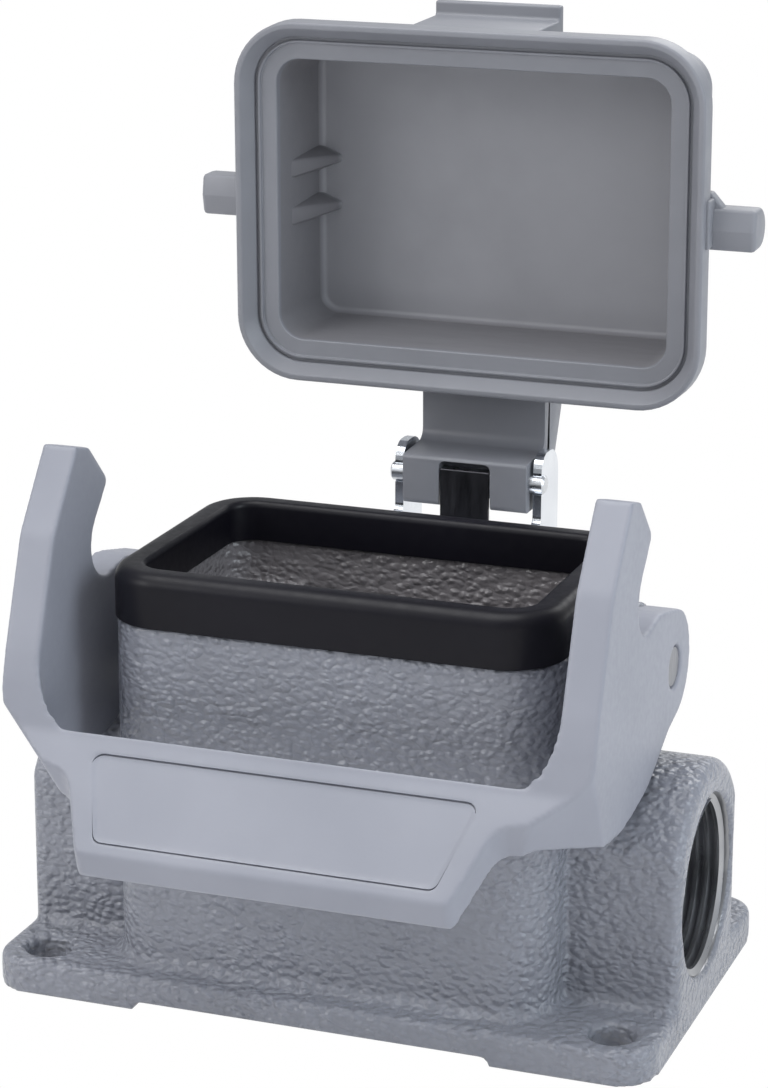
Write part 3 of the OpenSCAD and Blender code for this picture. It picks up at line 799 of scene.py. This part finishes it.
def makeStage():
    # the floor and the world look plain white from the camera, and light the object softly
    stage = {"half": 1.5, "colour": (0.93, 0.93, 0.94, 1), "roughness": 0.7, "white": (1, 1, 1, 1),
             "sky": (0.95, 0.97, 1.0, 1), "skyStrength": 0.5}
    half = stage["half"]
    mesh = bpy.data.meshes.new("floor")
    corners = [(-half, -half, 0), (half, -half, 0), (half, half, 0), (-half, half, 0)]
    mesh.from_pydata(corners, [], [(0, 1, 2, 3)])
    floor = linkPiece("floor", mesh)
    material, tree, shader = newMaterial("floorWhite")[:3]
    feed(tree, shader["Base Color"], stage["colour"])
    feed(tree, shader["Roughness"], stage["roughness"])
    glow = addNode(tree, "ShaderNodeEmission", {"Color": stage["white"], "Strength": 1.0})
    path = tree.nodes.new("ShaderNodeLightPath").outputs
    seen = mathNode(tree, "MAXIMUM", path["Is Camera Ray"], path["Is Glossy Ray"])
    plain = tree.nodes["Principled BSDF"].outputs[0]
    mix = addNode(tree, "ShaderNodeMixShader", {0: seen, 1: plain, 2: glow.outputs[0]})
    feed(tree, tree.nodes["Material Output"].inputs["Surface"], mix.outputs[0])
    mesh.materials.append(material)
    world = bpy.data.worlds.new("studio")
    bpy.context.scene.world = world
    world.use_nodes = True
    tree = world.node_tree
    back = tree.nodes["Background"]
    feed(tree, back.inputs["Color"], stage["sky"])
    feed(tree, back.inputs["Strength"], stage["skyStrength"])
    white = addNode(tree, "ShaderNodeBackground", {"Color": stage["white"], "Strength": 1.0})
    path = tree.nodes.new("ShaderNodeLightPath").outputs
    mix = addNode(tree, "ShaderNodeMixShader", {0: path["Is Camera Ray"], 1: back.outputs[0],
                                                2: white.outputs[0]})
    feed(tree, tree.nodes["World Output"].inputs["Surface"], mix.outputs[0])


# Places and sizes of the lamps are in metres, their power in watts.
lamps = {
    "topLight": {"place": (-0.15, -0.1, 0.9), "size": (0.7, 0.7), "power": 6.2, "colour": (1, 1, 1)},
    "frontLeft": {"place": (-0.7, -0.7, 0.55), "size": (0.5, 0.5), "power": 3.5, "colour": (1, 1, 1)},
    "rightSide": {"place": (0.8, -0.15, 0.4), "size": (0.4, 0.6), "power": 3.3, "colour": (0.84, 0.93, 1.0)},
    "backLight": {"place": (0.1, 0.8, 0.5), "size": (0.6, 0.4), "power": 2.0, "colour": (1, 1, 1)},
}
lampTarget = (0, 0, 0.06)


def addLamp(name, values):
    lamp = bpy.data.lights.new(name, "AREA")
    lamp.shape = "RECTANGLE"
    lamp.size, lamp.size_y = values["size"]
    lamp.energy = values["power"]
    lamp.color = values["colour"]
    holder = linkPiece(name, lamp)
    holder.location = values["place"]
    aim = Vector(lampTarget) - Vector(values["place"])
    holder.rotation_euler = aim.to_track_quat("-Z", "Y").to_euler()


def makeCamera():
    # the place is in millimetres, the angles in degrees
    view = {"place": (149.7, -405.43, 187.87), "azimuth": 20.24, "down": 16.36, "roll": 0.15, "lens": 109.14}
    lens = bpy.data.cameras.new("camera")
    lens.sensor_width = 36.0
    lens.lens = view["lens"]
    azimuth, down = math.radians(view["azimuth"]), math.radians(view["down"])
    level = math.cos(down)
    forward = Vector((-math.sin(azimuth) * level, math.cos(azimuth) * level, -math.sin(down)))
    aim = forward.to_track_quat("-Z", "Y").to_matrix().to_4x4()
    turn = aim @ Matrix.Rotation(math.radians(view["roll"]), 4, "Z")
    camera = linkPiece("camera", lens)
    camera.matrix_world = Matrix.Translation(Vector(view["place"]) * mm) @ turn
    bpy.context.scene.camera = camera


makeStage()
for lampName, lampValues in lamps.items():
    addLamp(lampName, lampValues)
makeCamera()
bpy.context.scene.view_settings.view_transform = "Standard"
print("stage, lamps and camera ready")

print("scene ready")
